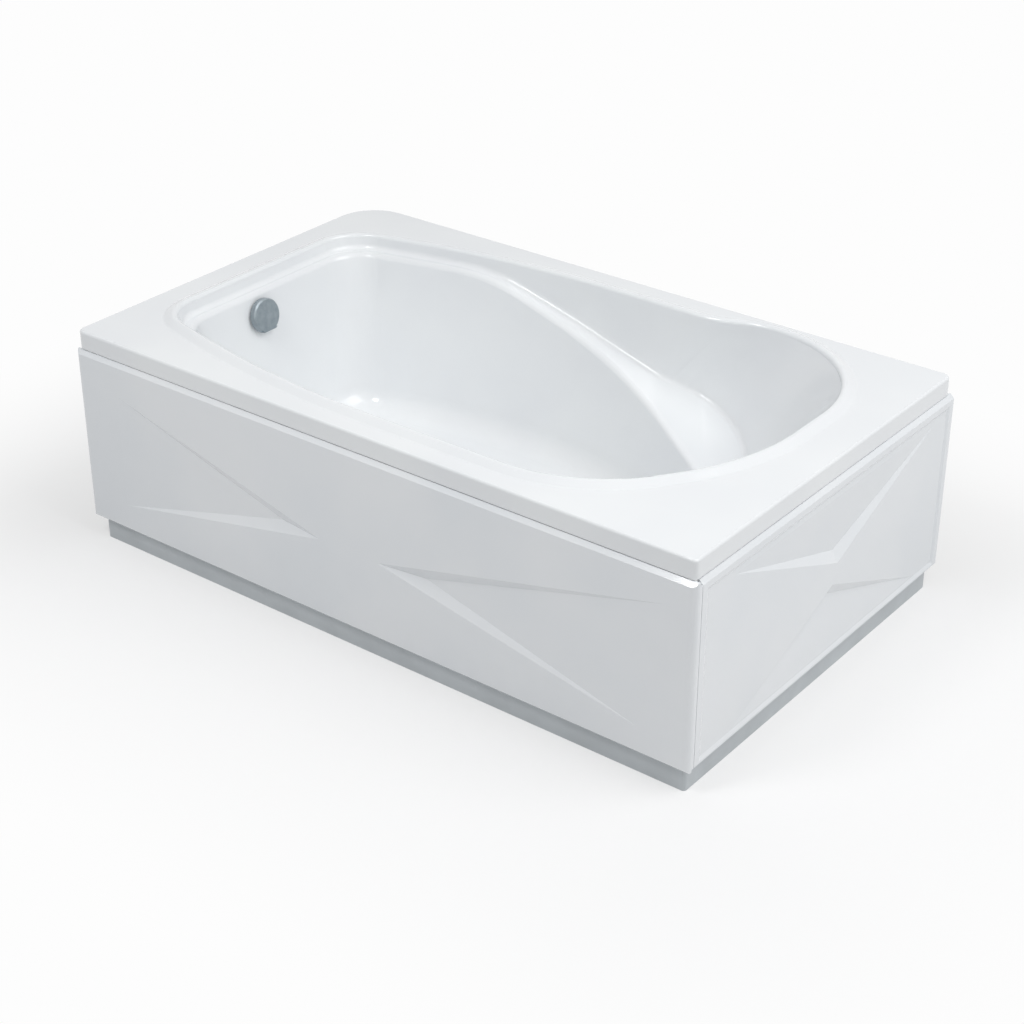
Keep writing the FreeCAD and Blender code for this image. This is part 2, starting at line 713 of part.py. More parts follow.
def make_battens():
    width, joint = size.batten_width, size.batten_joint
    long_start, long_end = batten_foot + size.corner_back_foot, batten_head - size.corner_back_head
    short_start, short_end = batten_front + width + joint, batten_back - size.corner_back_foot
    long_run, right_end = long_end - long_start, batten_back - width - joint
    battens = [("rim_batten_front", long_start, batten_front, long_run, width),
               ("rim_batten_back", long_start, batten_back - width, long_run, width),
               ("rim_batten_left", batten_foot, short_start, width, short_end - short_start),
               ("rim_batten_right", batten_head - width, short_start, width, right_end - short_start)]
    screws = [spot for _, _, spots in plate_places() for spot in spots]
    for label, x, y, run, deep in battens:
        blank = box(f"{label}_blank", (run, deep, size.batten_thickness), (x, y, batten_under))
        inside = [(sx, sy) for sx, sy in screws
                  if 0 < float(sx - x) < float(run) and 0 < float(sy - y) < float(deep)]
        keep(cut(label, blank, pilot_holes(label, inside, batten_under)), label)


def screw_shape(length):
    """A pan-head screw pointing up, its head's bearing face at its own origin."""
    shank = Part.makeCylinder(float(size.screw_shank), float(length))
    height = float(size.screw_head_height)
    head = Part.makeCone(float(size.screw_head) / 2, float(size.screw_head), height, Vector(0, 0, -height))
    return shank.fuse(head)


def copies(label, shape, places):
    solids = []
    for place in places:
        solid = shape.copy()
        solid.translate(Vector(*[float(value) for value in place]))
        solids.append(solid)
    return keep(freeform(label, Part.makeCompound(solids)), label)


def make_screws():
    """Screws up through the post plates into the battens, and up through the rails into the board."""
    places = [(x, y, plate_under) for _, _, screws in plate_places() for x, y in screws]
    copies("post_screws", screw_shape(size.screw_length), places)
    rows = [(x, y, board_under - size.tube_wall) for side in (-1, 1) for x, y in board_screw_places(side)]
    copies("board_screws", screw_shape(size.board_screw_length), rows)


# Levelling feet

def foot_places():
    rows = (("front", -1), ("back", 1))
    return [(f"{row}_{end}", x, (back_edge - size.foot_inset) * side)
            for end, x in zip(("left", "right"), cross_places) for row, side in rows]


def make_feet():
    for name, x, y in foot_places():
        pad = turned(f"levelling_pad_{name}", [
            (0, 0), (size.pad_radius, 0), (size.pad_radius, size.pad_edge), (size.pad_top, size.pad_height),
            (0, size.pad_height)])
        keep(put(pad, x, y), f"levelling_pad_{name}")
        label = f"levelling_stud_{name}"
        keep(round_bar(label, size.stud_radius, size.stud_length, (x, y, size.pad_height)), label)


def nut_shape():
    """A plain hexagon nut, flat on its own origin."""
    radius = float(size.nut_radius)
    turns = [math.pi / 3 * i for i in range(7)]
    corners = [Vector(radius * math.cos(turn), radius * math.sin(turn), 0) for turn in turns]
    height = float(size.nut_height)
    hexagon = Part.Face(Part.makePolygon(corners)).extrude(Vector(0, 0, height))
    bore = Part.makeCylinder(float(size.stud_radius + size.clearance), height)
    return hexagon.cut(bore)


def make_nuts():
    places = []
    for _, x, y in foot_places():
        places += [(x, y, cross_under - size.nut_height), (x, y, cross_top)]
    copies("levelling_nuts", nut_shape(), places)


# Panels

def tetrahedron(a, b, c, tip):
    faces = [Part.Face(Part.makePolygon([*three, three[0]]))
             for three in ((a, b, c), (a, b, tip), (b, c, tip), (c, a, tip))]
    return Part.Solid(Part.Shell(faces))


def panel_blank(length):
    """A panel of a length along X, its face at Y 0, with bevelled edges and lips turned in."""
    wall, lip = float(size.panel_wall), float(size.panel_lip)
    low, high = float(panel_bottom), float(panel_top)
    bevel, foot_bevel = float(size.panel_bevel), float(size.panel_foot_bevel)
    outline = [(0, low + foot_bevel), (foot_bevel, low), (lip, low), (lip, high), (bevel, high),
               (0, high - bevel)]
    points = [Vector(0, depth, height) for depth, height in outline]
    solid = Part.Face(Part.makePolygon([*points, points[0]])).extrude(Vector(length, 0, 0))
    room_low, room_high = low + wall + foot_bevel / 2, high - wall - bevel / 2
    room = Part.makeBox(length, lip, room_high - room_low, Vector(0, wall, room_low))
    return solid.cut(room)


def side_tab(panel, end, length):
    """Turn one end of a panel in by its return, with a rounded outer corner."""
    wall, near = float(size.panel_tab), float(size.clearance)
    low, high = float(panel_bottom + size.panel_foot_bevel), float(panel_top - size.panel_bevel)
    tab = Part.makeBox(wall, float(size.panel_return), high - low,
                       Vector(length - wall if end else 0, 0, low))
    panel = panel.fuse(tab).removeSplitter()
    return round_edges(panel, size.panel_corner,
                       lambda point: abs(point.x - end) < near and abs(point.y) < near)


def dent(panel, corners, root, depth, face=0.0):
    """Press a three-sided pocket into a panel, its wall following behind."""
    wall, face = float(size.panel_wall), float(face)
    a, b, c = [Vector(float(x), face, float(z)) for x, z in corners]
    low = Vector(float(root[0]), face + float(depth), float(root[1]))
    back = Vector(0, wall, 0)
    middle = (a + b + c) * (1 / 3)
    spread = 1 + wall / (middle - low).Length
    wide = [middle + (point - middle) * spread + back for point in (a, b, c)]
    bulge = tetrahedron(*wide, low + back)
    return panel.fuse(bulge).cut(tetrahedron(a, b, c, low))


def sink_field(panel, x0, x1, z0, z1):
    """Sink a bevelled field into a panel, with the sheet stepped back behind it."""
    depth, bevel, wall = float(size.field_depth), float(size.field_bevel), float(size.panel_wall)
    x0, x1, z0, z1 = [float(value) for value in (x0, x1, z0, z1)]

    def frame(inset, y):
        spots = [(x0 + inset, z0 + inset), (x1 - inset, z0 + inset), (x1 - inset, z1 - inset),
                 (x0 + inset, z1 - inset), (x0 + inset, z0 + inset)]
        return Part.makePolygon([Vector(x, y, z) for x, z in spots])

    behind = Part.makeBox(x1 - x0, depth, z1 - z0, Vector(x0, wall, z0))
    field = Part.makeLoft([frame(0.0, 0.0), frame(bevel, depth)], True, True)
    return panel.fuse(behind).cut(field)


def pins(panel, places, back, tip):
    """Moulded pins from half-way into the sheet, reaching into the spring clips."""
    root = float(back) - float(size.panel_wall) / 2
    for x, z in places:
        spot = Vector(float(x), root, float(z))
        pin = Part.makeCylinder(float(size.pin_radius), float(tip) - root, spot, Vector(0, 1, 0))
        panel = panel.fuse(pin)
    return panel


pin_tip = size.rail_end_gap - size.pin_end_gap


def make_front_panel():
    length = float(size.bath_length)
    panel = panel_blank(length)

    def spot(along_share, rise_share):
        return size.bath_length * along_share, panel_level(rise_share)

    left = [spot(size.front_left_apex_share, size.front_apex_rise_share),
            spot(size.front_left_reach_share, size.front_left_top_share),
            spot(size.front_left_reach_share, size.front_left_bottom_share)]
    right = [spot(size.front_right_apex_share, size.front_apex_rise_share),
             spot(size.front_right_reach_share, size.front_right_top_share),
             spot(size.front_right_low_reach_share, size.front_right_bottom_share)]
    panel = dent(panel, left, (left[0][0] - size.pocket_root, left[0][1]), size.pocket_depth)
    panel = dent(panel, right, (right[0][0] + size.pocket_root, right[0][1]), size.pocket_depth)
    places = [(x - foot_edge, z) for x in cross_places for z in front_clip_levels]
    panel = pins(panel, places, size.panel_wall, pin_tip)
    for end in (0.0, length):
        panel = side_tab(panel, end, length)
    place = Placement(Vector(float(foot_edge), float(front_edge), 0), Rotation())
    keep(freeform("front_panel", panel, place), "front_panel")


def make_end_panel():
    start = size.panel_return + size.panel_joint
    length = float(size.bath_width - start)
    face = size.field_depth
    panel = sink_field(panel_blank(length), size.field_front, length - float(size.field_back),
                       panel_bottom + size.field_low, panel_top - size.field_top)

    def across(value):
        return value - start

    def spot(across_share, rise_share):
        return across(size.bath_width * across_share), panel_level(rise_share)

    upper = [spot(size.end_apex_share, size.end_apex_rise_share),
             spot(size.end_top_front_share, size.end_top_rise_share),
             spot(size.end_top_back_share, size.end_top_rise_share)]
    lower = [spot(size.end_low_apex_share, size.end_low_apex_rise_share),
             spot(size.end_low_front_share, size.end_low_rise_share),
             spot(size.end_low_back_share, size.end_low_rise_share)]
    panel = dent(panel, upper, (upper[0][0], upper[0][1] + size.end_pocket_root), size.end_pocket_depth, face)
    panel = dent(panel, lower, (lower[0][0], lower[0][1] - size.end_pocket_root), size.end_pocket_depth, face)
    rows = [size.bath_width / 2 + size.rail_gauge / 2 * side for side in (-1, 1)]
    places = [(across(row), z) for row in rows for z in end_clip_levels]
    panel = pins(panel, places, size.panel_wall + face, pin_tip)
    place = Placement(Vector(float(head_edge), float(front_edge + start), 0), Rotation(Vector(0, 0, 1), 90))
    keep(freeform("end_panel", panel, place), "end_panel")


def clip_shape():
    """A spring clip: a block with a mouth for the pin, its back face at Y 0 and its mouth towards -Y."""
    side, depth = float(size.clip_side), float(size.clip_depth)
    block = Part.makeBox(side, depth, side, Vector(-side / 2, -depth, -side / 2))
    mouth = Vector(0, -depth, 0)
    bore = Part.makeCylinder(float(size.pin_radius + size.clearance), depth, mouth, Vector(0, 1, 0))
    gap = float(size.clip_slit)
    slit = Part.makeBox(gap, depth, side / 2, Vector(-gap / 2, -depth, 0))
    return block.cut(bore).cut(slit)


def make_clips():
    places = [(x, post_front, z) for x in cross_places for z in front_clip_levels]
    copies("front_panel_clips", clip_shape(), places)
    end_clip = clip_shape()
    end_clip.rotate(Vector(), Vector(0, 0, 1), 90)
    rows = [size.rail_gauge / 2 * side for side in (-1, 1)]
    places = [(rail_head, y, z) for y in rows for z in end_clip_levels]
    copies("end_panel_clips", end_clip, places)


# Plinth

plinth_front = front_edge + size.plinth_recess
plinth_head = head_edge - size.plinth_recess


def make_plinth():
    thick, radius = size.plinth_thickness, size.plinth_corner
    start = foot_edge + size.plinth_foot_inset
    front = box("front_plinth_blank", (plinth_head - start, thick, size.plinth_height), (start, plinth_front))
    doc.recompute()
    x_end, y_end = float(plinth_head), float(plinth_front)
    near = float(size.clearance)
    rounded = round_edges(front.Shape, radius / 2,
                          lambda point: abs(point.x - x_end) < near and abs(point.y - y_end) < near)
    keep(freeform("front_plinth", rounded), "front_plinth")
    side_start = plinth_front + thick
    sides = (thick, back_edge - size.plinth_back_inset - side_start, size.plinth_height)
    keep(box("end_plinth", sides, (plinth_head - thick, side_start)), "end_plinth")


def make_plinth_brackets():
    """Flat straps from the rail ends down to the back of the plinth."""
    half, low = size.bracket_width / 2, size.bracket_rise
    straps = []
    front_depth = post_front - plinth_front - size.plinth_thickness
    for i, x in enumerate(cross_places):
        sides = (size.bracket_width, front_depth, cross_top - low - size.bracket_top_gap)
        straps.append(box(f"front_strap_{i}", sides, (x - half, plinth_front + size.plinth_thickness, low)))
    end_depth = plinth_head - size.plinth_thickness - rail_head
    for i, side in enumerate((-1, 1)):
        sides = (end_depth, size.bracket_width, board_under - low - size.bracket_top_gap)
        y = size.rail_gauge / 2 * side - half
        straps.append(box(f"end_strap_{i}", sides, (rail_head, y, low)))
    group = doc.addObject("Part::Compound", "plinth_brackets")
    group.Links = straps
    keep(group, "plinth_brackets")


# Waste

def make_waste_flange():
    top = size.waste_flange_height
    ring = turned("waste_flange_ring", [
        (size.waste_bore, -size.waste_neck_drop), (size.waste_neck, -size.waste_neck_drop),
        (size.waste_neck, 0), (size.waste_flange, 0), (size.waste_flange, size.waste_edge),
        (size.waste_flange - size.waste_edge, top), (size.waste_mouth, top),
        (size.waste_bore, top - size.waste_mouth_depth)])
    put(ring, waste_x, drain_y, size.floor_height)
    low = size.floor_height - size.waste_neck_drop
    hub = round_bar("waste_hub", size.waste_hub, size.waste_hub_height, (waste_x, drain_y, low))
    reach = (size.waste_bore + size.waste_neck) / 2
    spokes = [box("waste_spoke_long", (reach * 2, size.waste_spoke, size.waste_hub_height),
                  (waste_x - reach, drain_y - size.waste_spoke / 2, low)),
              box("waste_spoke_cross", (size.waste_spoke, reach * 2, size.waste_hub_height),
                  (waste_x - size.waste_spoke / 2, drain_y - reach, low))]
    guide_length = size.waste_hub_height + size.overrun * 2
    guide = round_bar("waste_guide", size.plug_stem + size.clearance, guide_length,
                      (waste_x, drain_y, low - size.overrun))
    keep(cut("waste_flange", fuse("waste_flange_blank", [ring, hub, *spokes]), guide), "waste_flange")


plug_seat = size.floor_height + size.waste_flange_height + size.plug_seat_gap


def make_plug():
    cap, top, stem = size.plug_cap, size.plug_cap_height, size.plug_stem
    plug = turned("drain_plug", [
        (0, -size.plug_stem_length), (stem, -size.plug_stem_length), (stem, -size.seal_height),
        (size.seal_inner, -size.seal_height), (size.seal_inner, 0), (cap, 0), (cap, size.plug_rim),
        (size.plug_dome, top), (0, top)])
    keep(put(plug, waste_x, drain_y, plug_seat), "drain_plug")
    seal = turned("plug_seal", square_loop(size.seal_inner, size.seal_radius, -size.seal_height, 0))
    keep(put(seal, waste_x, drain_y, plug_seat), "plug_seal")


def make_waste_gasket():
    ring = turned("waste_gasket", square_loop(size.waste_hole, size.gasket_radius, -size.gasket_height, 0))
    keep(put(ring, waste_x, drain_y, floor_under), "waste_gasket")


waste_body_top = floor_under - size.gasket_height
waste_body_low = waste_body_top - size.body_depth
branch_z = waste_body_top - size.body_flange_height - size.branch_drop - size.pipe_radius


def make_waste_body():
    flange, wall, deep = size.body_flange_height, size.body_wall, size.body_depth
    outlet, radius, tail = size.outlet_radius, size.body_radius, deep + size.outlet_length
    cup = turned("waste_body_cup", [
        (size.waste_hole, 0), (size.body_flange, 0), (size.body_flange, -flange), (radius, -flange),
        (radius, -deep), (outlet, -deep), (outlet, -tail), (outlet - wall, -tail),
        (outlet - wall, wall - deep), (radius - wall, wall - deep),
        (radius - wall, -flange), (size.waste_hole, -flange)])
    put(cup, waste_x, drain_y, waste_body_top)
    doc.recompute()
    reach = float(size.branch_reach)
    spot = Vector(float(waste_x) - reach, float(drain_y), float(branch_z))
    root = reach - float(size.body_radius - wall)
    branch = Part.makeCylinder(float(size.pipe_radius), root, spot, Vector(1, 0, 0))
    bore = Part.makeCylinder(float(size.pipe_radius - size.pipe_wall), root, spot, Vector(1, 0, 0))
    inside = Part.makeCylinder(float(size.body_radius - wall), float(size.body_depth - wall - flange))
    inside.translate(Vector(float(waste_x), float(drain_y), float(waste_body_low + wall)))
    keep(freeform("waste_body", cup.Shape.fuse(branch).cut(bore).cut(inside)), "waste_body")


trap_top = waste_body_low - size.clearance
trap_low = trap_top - size.trap_height


def make_trap():
    wall, radius, low, bevel = size.body_wall, size.trap_radius, -size.trap_height, size.trap_bevel
    mouth = size.outlet_radius + size.clearance
    cup = turned("waste_trap_cup", [
        (mouth, 0), (radius - bevel, 0), (radius, -bevel), (radius, low + bevel), (radius - bevel, low),
        (0, low), (0, low + wall), (radius - bevel, low + wall), (radius - wall, low + bevel),
        (radius - wall, -bevel), (radius - bevel, -wall), (mouth, -wall)])
    put(cup, waste_x, drain_y, trap_top)
    doc.recompute()
    height = float((trap_top + trap_low) / 2)
    end = float(radius + size.spigot_length)
    inside = Part.makeCylinder(float(radius - wall), float(size.trap_height - wall * 2))
    inside.translate(Vector(float(waste_x), float(drain_y), float(trap_low + wall)))
    start, way = Vector(float(waste_x), float(drain_y), height), Vector(0, 1, 0)
    root = float(mouth + wall)
    collar = Part.makeCylinder(float(size.collar_radius), float(radius + size.collar_length) - root,
                               start + way * root, way)
    spigot = Part.makeCylinder(float(size.spigot_radius), end, start, way).fuse(collar)
    bore = Part.makeCylinder(float(size.spigot_radius - wall), end, start, way)
    body = cup.Shape.fuse(spigot.cut(inside)).cut(bore)
    keep(freeform("waste_trap", body), "waste_trap")


# Overflow

def make_overflow_face():
    ring = turned("overflow_ring", square_loop(size.face_inner, size.face_radius, 0, size.face_height))
    hub = turned("overflow_hub", square_loop(size.spindle_radius + size.spindle_fit, size.face_hub,
                                             -size.hub_depth, size.face_height))
    doc.recompute()
    solid = ring.Shape.fuse(hub.Shape)
    reach = float(size.face_inner + size.face_radius) / 2
    inner = float(size.face_hub + size.spindle_radius) / 2
    spoke = Part.makeBox(reach - inner, float(size.face_spoke), float(size.face_height),
                         Vector(inner, -float(size.face_spoke) / 2, 0))
    for turn in (0, 120, 240):
        arm = spoke.copy()
        arm.rotate(Vector(), Vector(0, 0, 1), turn)
        solid = solid.fuse(arm)
    keep(freeform("overflow_face", solid.removeSplitter(), overflow_place), "overflow_face")


def make_knob():
    """A cup-shaped control knob with a flat across its rim, and its spindle."""
    low, wall, edge = size.face_height + size.knob_gap, size.knob_wall, size.knob_edge
    high, radius, spindle = low + size.knob_height, size.knob_radius, size.spindle_radius
    cup = turned("knob_cup", [
        (0, -size.spindle_depth), (spindle, -size.spindle_depth), (spindle, high - wall),
        (radius - wall, high - wall), (radius - wall, low), (radius, low),
        (radius, high - edge), (radius - edge, high), (0, high)])
    doc.recompute()
    wide, tall = float(radius) * 2, float(size.knob_height)
    flat = Part.makeBox(wide, wide, wide, Vector(float(size.knob_flat), -wide / 2, 0))
    shut = Part.makeBox(float(wall), wide, tall, Vector(float(size.knob_flat - wall), -wide / 2, float(low)))
    outer = Part.makeCylinder(float(radius), tall, Vector(0, 0, float(low)))
    knob = cup.Shape.fuse(shut.common(outer)).cut(flat)
    keep(freeform("overflow_knob", knob.removeSplitter(), overflow_place), "overflow_knob")


def make_overflow_gasket():
    loop = square_loop(size.overflow_hole, size.elbow_flange, -size.gasket_height, 0)
    ring = turned("overflow_gasket", loop)
    ring.Placement = overflow_place.multiply(Placement(Vector(0, 0, -float(overflow_skin)), Rotation()))
    keep(ring, "overflow_gasket")


elbow_top = -overflow_skin - size.gasket_height
stub_depth = elbow_top - size.elbow_depth / 2


def make_overflow_body():
    wall, top, radius, low = size.elbow_wall, elbow_top, size.elbow_radius, elbow_top - size.elbow_depth
    hub, rim = size.face_hub + size.clearance, top - size.elbow_flange_height
    cup = turned("overflow_cup", [
        (hub, low), (radius, low), (radius, rim), (size.elbow_flange, rim), (size.elbow_flange, top),
        (radius - wall, top), (radius - wall, low + wall), (hub, low + wall)])
    doc.recompute()
    start = Vector(0, 0, float(stub_depth))
    reach = float(size.stub_reach)
    stub = Part.makeCylinder(float(size.pipe_radius), reach, start, Vector(1, 0, 0))
    bore = Part.makeCylinder(float(size.pipe_radius - size.pipe_wall), reach, start, Vector(1, 0, 0))
    inside = Part.makeCylinder(float(size.elbow_radius - wall), float(size.elbow_depth - wall),
                               Vector(0, 0, float(top - size.elbow_depth + wall)))
    body = cup.Shape.fuse(stub.cut(inside)).cut(bore)
    keep(freeform("overflow_body", body, overflow_place), "overflow_body")


def pipe_path(shift, bend, start_reach, end_reach):
    """From the overflow down along the leaning wall, round a bend, and level to the waste body."""
    top = overflow_place.multVec(Vector(float(start_reach), 0, float(stub_depth)))
    down = overflow_place.Rotation.multVec(Vector(1, 0, 0))
    level = float(branch_z)
    corner = top + down * ((level - top.z) / down.z)
    along = Vector(1, 0, 0)
    end = Vector(float(waste_x - end_reach), float(drain_y), level)
    half_turn = down.getAngle(along) / 2
    tangent = float(bend) * math.tan(half_turn)
    inward = (along - down).normalize() * (float(bend) / math.cos(half_turn) - float(bend))
    first, middle, last = corner - down * tangent, corner + inward, corner + along * tangent
    move = Vector(0, float(shift), 0)
    edges = [Part.LineSegment(top + move, first + move).toShape(),
             Part.Arc(first + move, middle + move, last + move).toShape(),
             Part.LineSegment(last + move, end + move).toShape()]
    return Part.Wire(edges), down


def swept(path, start_way, radius):
    circle = Part.Wire(Part.makeCircle(float(radius), path.Vertexes[0].Point, start_way))
    return path.makePipeShell([circle], True, False)


def make_overflow_pipe():
    path, down = pipe_path(0.0, size.pipe_bend, size.stub_reach, size.branch_reach)
    outer = swept(path, down, size.pipe_radius)
    inner = swept(path, down, size.pipe_radius - size.pipe_wall)
    keep(freeform("overflow_pipe", outer.cut(inner)), "overflow_pipe")


def make_pipe_nuts():
    """Ring nuts over the two pipe joints."""
    path, down = pipe_path(0.0, size.pipe_bend, size.stub_reach, size.branch_reach)
    height, bore = float(size.pipe_nut_height), float(size.pipe_radius + size.nut_bore_gap)
    nuts = []
    for spot, way in ((path.Vertexes[0].Point, down), (path.Vertexes[-1].Point, Vector(1, 0, 0))):
        start = spot - way * (height / 2)
        ring = Part.makeCylinder(float(size.pipe_nut_radius), height, start, way)
        nuts.append(ring.cut(Part.makeCylinder(bore, height, start, way)))
    keep(freeform("pipe_nuts", Part.makeCompound(nuts)), "pipe_nuts")


def make_cable():
    """The control cable beside the overflow pipe, from the overflow body to the waste body."""
    inner_side = float(size.cable_offset - size.cable_radius)

    def seat(radius):
        return math.sqrt(float(radius) ** 2 - inner_side ** 2) + float(size.clearance)

    ends = seat(size.elbow_radius), seat(size.body_radius)
    path, down = pipe_path(size.cable_offset, size.cable_bend, *ends)
    keep(freeform("control_cable", swept(path, down, size.cable_radius)), "control_cable")


def make_all():
    make_sheet()
    make_board()
    make_long_rails()
    make_cross_rails()
    make_posts()
    make_post_plates()
    make_battens()
    make_screws()
    make_feet()
    make_nuts()
    make_front_panel()
    make_end_panel()
    make_clips()
    make_plinth()
    make_plinth_brackets()
    make_waste_flange()
    make_plug()
    make_waste_gasket()
    make_waste_body()
    make_trap()
    make_overflow_face()
    make_knob()
    make_overflow_gasket()
    make_overflow_body()
    make_overflow_pipe()
    make_pipe_nuts()
    make_cable()
    doc.recompute()


def check_and_write():
    for thing in doc.Objects:
        if "Invalid" in thing.State or "Error" in thing.State:
            raise RuntimeError(f"{thing.Label} failed: {thing.State}")
    for piece in pieces:
        if piece.Shape.isNull() or not piece.Shape.isValid():
            raise RuntimeError(f"{piece.Label} has no valid shape")
    os.makedirs("parts", exist_ok=True)
    for piece in pieces:
        piece.Shape.exportStep(f"parts/{piece.Label}.step")


make_all()
check_and_write()
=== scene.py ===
import json
import math

import bmesh
import bpy
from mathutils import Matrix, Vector


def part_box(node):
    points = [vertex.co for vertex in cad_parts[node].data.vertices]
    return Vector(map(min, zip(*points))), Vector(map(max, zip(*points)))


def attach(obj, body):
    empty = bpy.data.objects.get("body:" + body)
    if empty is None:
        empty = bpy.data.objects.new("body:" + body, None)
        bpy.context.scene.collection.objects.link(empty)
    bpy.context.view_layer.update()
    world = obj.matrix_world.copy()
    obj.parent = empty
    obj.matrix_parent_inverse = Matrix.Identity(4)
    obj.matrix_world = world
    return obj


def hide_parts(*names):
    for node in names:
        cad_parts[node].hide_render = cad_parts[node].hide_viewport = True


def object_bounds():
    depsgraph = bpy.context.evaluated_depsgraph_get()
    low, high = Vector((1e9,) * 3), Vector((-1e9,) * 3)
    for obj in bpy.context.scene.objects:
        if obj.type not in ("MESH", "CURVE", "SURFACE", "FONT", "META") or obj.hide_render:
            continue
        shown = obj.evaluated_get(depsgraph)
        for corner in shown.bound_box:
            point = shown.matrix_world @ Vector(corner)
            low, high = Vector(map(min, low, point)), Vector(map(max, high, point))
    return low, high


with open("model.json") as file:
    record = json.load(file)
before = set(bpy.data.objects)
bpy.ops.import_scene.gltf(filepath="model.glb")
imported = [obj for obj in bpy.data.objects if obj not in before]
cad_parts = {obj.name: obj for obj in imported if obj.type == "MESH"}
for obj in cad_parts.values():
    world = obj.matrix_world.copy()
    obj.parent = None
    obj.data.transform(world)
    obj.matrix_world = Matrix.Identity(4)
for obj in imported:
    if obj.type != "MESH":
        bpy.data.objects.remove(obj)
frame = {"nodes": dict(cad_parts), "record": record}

cad_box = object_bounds()
MM = 0.001


# Node and colour helpers

def linear(hex_text):
    """An sRGB hex colour as a linear RGBA value."""
    channels = [int(hex_text[start:start + 2], 16) / 255 for start in (1, 3, 5)]
    return [c / 12.92 if c <= 0.04045 else ((c + 0.055) / 1.055) ** 2.4 for c in channels] + [1.0]


def per_metre(length_mm):
    """The texture scale whose features are about this long."""
    return 1 / (length_mm * MM)


def add_node(tree, kind, inputs=None, stops=(), **settings):
    """Add a node with its settings. An input is a value, a socket, or a node whose first output it takes."""
    node = tree.nodes.new(kind)
    for name, value in settings.items():
        setattr(node, name, value)
    for name, value in (inputs or {}).items():
        source = value.outputs[0] if isinstance(value, bpy.types.Node) else value
        if isinstance(source, bpy.types.NodeSocket):
            tree.links.new(source, node.inputs[name])
        else:
            node.inputs[name].default_value = source
    for number, (spot, colour) in enumerate(stops):
        elements = node.color_ramp.elements
        element = elements[number] if number < len(elements) else elements.new(spot)
        element.position = spot
        element.color = linear(colour)
    return node


def start_material(name):
    """An empty material, its tree and its object coordinates."""
    material = bpy.data.materials.new(name)
    material.use_nodes = True
    tree = material.node_tree
    tree.nodes.clear()
    return material, tree, add_node(tree, "ShaderNodeTexCoord").outputs["Object"]


def end_material(material, surface):
    """Put a material's last shader on its output."""
    add_node(material.node_tree, "ShaderNodeOutputMaterial", {"Surface": surface})
    return material


# Materials

def make_acrylic(name, light, shade):
    """Sanitary acrylic: cast sheet, vacuum formed. A milk-white body under a wet gloss, faintly wavy."""
    material, tree, place = start_material(name)
    cloud = add_node(tree, "ShaderNodeTexNoise", {"Vector": place, "Scale": per_metre(260), "Detail": 2.0})
    colour = add_node(tree, "ShaderNodeValToRGB", {"Fac": cloud}, [(0.35, shade), (0.65, light)])
    wipe = add_node(tree, "ShaderNodeTexNoise", {"Vector": place, "Scale": per_metre(45), "Detail": 4.0})
    gloss = add_node(tree, "ShaderNodeMapRange", {"Value": wipe, "To Min": 0.10, "To Max": 0.20})
    wave = add_node(tree, "ShaderNodeTexNoise", {"Vector": place, "Scale": per_metre(120), "Detail": 1.0})
    relief = add_node(tree, "ShaderNodeBump", {"Height": wave, "Distance": 0.6 * MM, "Strength": 0.15})
    return end_material(material, add_node(tree, "ShaderNodeBsdfPrincipled", {
        "Base Color": colour, "Roughness": gloss, "Normal": relief, "IOR": 1.49,
        "Coat Weight": 0.3, "Coat Roughness": 0.05}))


def make_fibreglass():
    """Chopped-strand glass in polyester resin, laid by hand: cream, half gloss, strands about 50 mm long."""
    material, tree, place = start_material("fibreglass_laminate")
    strands = None
    for turn, seed in ((20, 0.0), (80, 3.0), (140, 7.0)):
        angle = math.radians(turn)
        laid = add_node(tree, "ShaderNodeMapping", {
            "Vector": place, "Rotation": (angle, angle * 0.6, angle), "Location": (seed, seed, seed),
            "Scale": (per_metre(50), per_metre(2.2), per_metre(2.2))})
        layer = add_node(tree, "ShaderNodeTexNoise", {"Vector": laid, "Scale": 1.0, "Detail": 1.0})
        if strands is None:
            strands = layer
        else:
            strands = add_node(tree, "ShaderNodeMath", {0: strands, 1: layer}, operation="MAXIMUM")
    colour = add_node(tree, "ShaderNodeValToRGB", {"Fac": strands},
                      [(0.50, "#c3bda6"), (0.62, "#d5d0bd"), (0.75, "#e7e4d8")])
    gloss = add_node(tree, "ShaderNodeMapRange", {"Value": strands, "To Min": 0.65, "To Max": 0.35})
    relief = add_node(tree, "ShaderNodeBump", {"Height": strands, "Distance": 1.0 * MM, "Strength": 0.5})
    return end_material(material, add_node(tree, "ShaderNodeBsdfPrincipled", {
        "Base Color": colour, "Roughness": gloss, "Normal": relief, "IOR": 1.55}))


def make_chipboard():
    """Raw chipboard: pressed flakes about 5 mm across in mixed browns, dull."""
    material, tree, place = start_material("chipboard")
    flakes = add_node(tree, "ShaderNodeTexVoronoi", {"Vector": place, "Scale": per_metre(5)})
    flake = add_node(tree, "ShaderNodeSeparateColor", {"Color": flakes.outputs["Color"]})
    colour = add_node(tree, "ShaderNodeValToRGB", {"Fac": flake},
                      [(0.0, "#7d6244"), (0.35, "#a98a62"), (0.7, "#c3a67c"), (1.0, "#d6bd95")])
    dull = add_node(tree, "ShaderNodeMapRange", {"Value": flake, "To Min": 0.75, "To Max": 0.9})
    relief = add_node(tree, "ShaderNodeBump", {"Height": flake, "Distance": 0.3 * MM, "Strength": 0.6})
    return end_material(material, add_node(tree, "ShaderNodeBsdfPrincipled", {
        "Base Color": colour, "Roughness": dull, "Normal": relief}))


